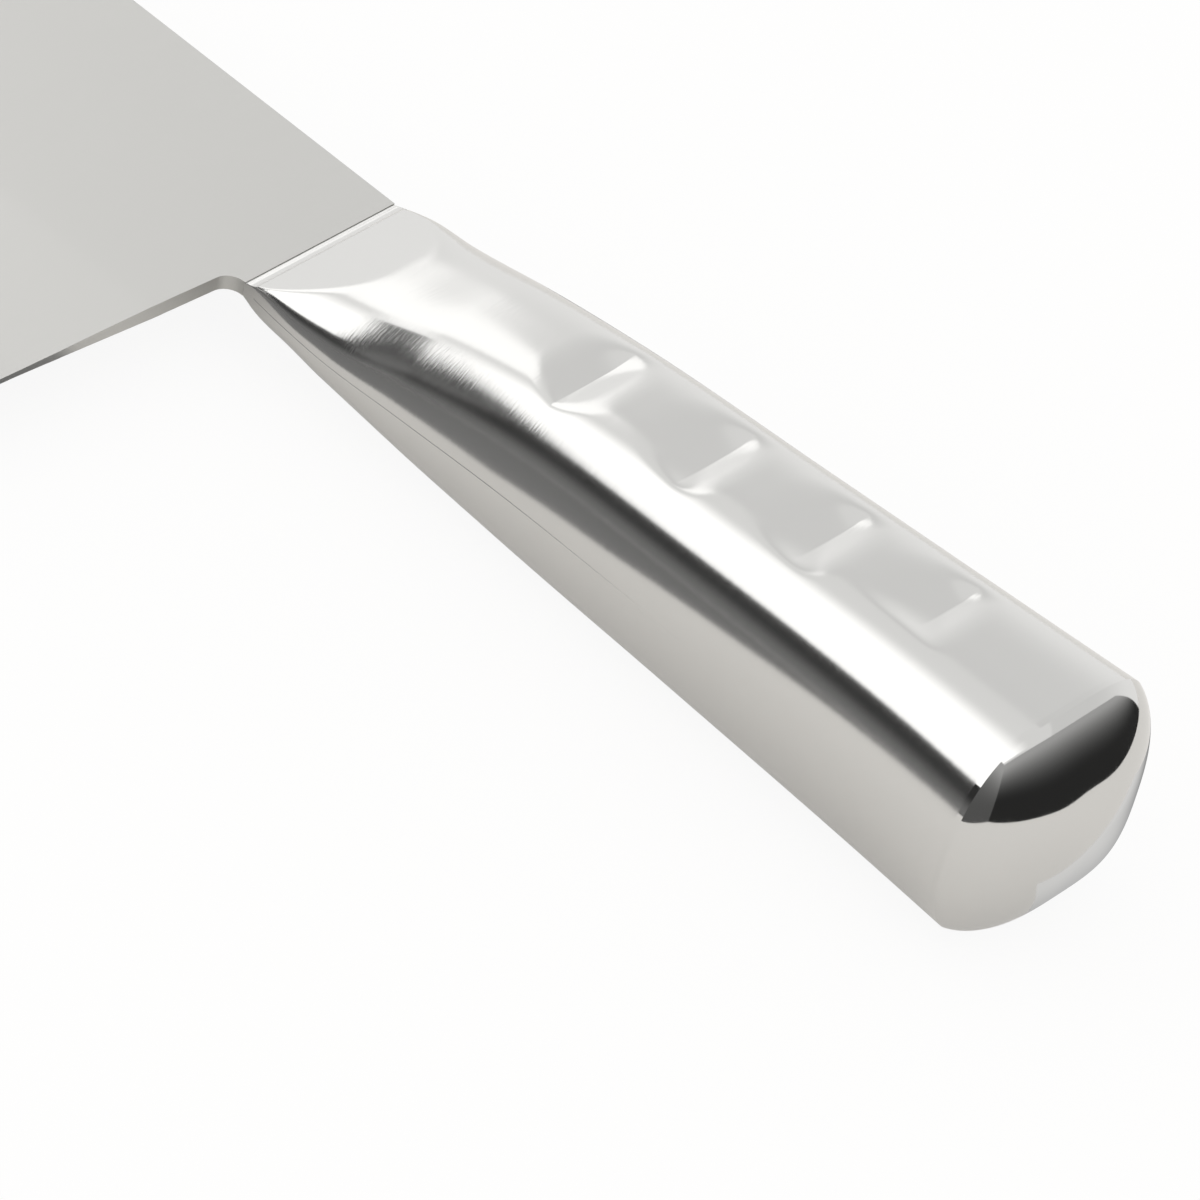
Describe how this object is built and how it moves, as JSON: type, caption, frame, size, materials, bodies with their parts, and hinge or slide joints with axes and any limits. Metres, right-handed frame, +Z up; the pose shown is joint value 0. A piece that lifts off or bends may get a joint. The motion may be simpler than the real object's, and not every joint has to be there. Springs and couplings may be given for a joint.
{
  "type": "chinese cleaver",
  "caption": "Wide flat kitchen cleaver, all stainless steel, with a hollow welded handle that has pressed finger dimples and a domed end cap.",
  "frame": {"origin": "middle of the bounding box in plan, at the height of the table that the knife rests on", "axes": "+X towards the front end of the blade, +Y towards the cutting edge, +Z up, out of the left face"},
  "size_m": [0.3268, 0.0968, 0.0308],
  "materials": {
    "satin_blade_steel": "satin ground stainless steel with a fine grain",
    "polished_handle_steel": "polished stainless steel with fine cross scratches",
    "weld_steel": "weld bead ground flush and polished",
    "mirror_cap_steel": "mirror polished stainless steel"
  },
  "bodies": {
    "root": {"blade": "satin_blade_steel", "handle_shell_left": "polished_handle_steel", "handle_shell_right": "polished_handle_steel", "spine_seam_weld": "weld_steel", "belly_seam_weld": "weld_steel", "neck_weld": "weld_steel", "cap_weld": "weld_steel", "end_cap": "mirror_cap_steel"}
  },
  "joints": []
}
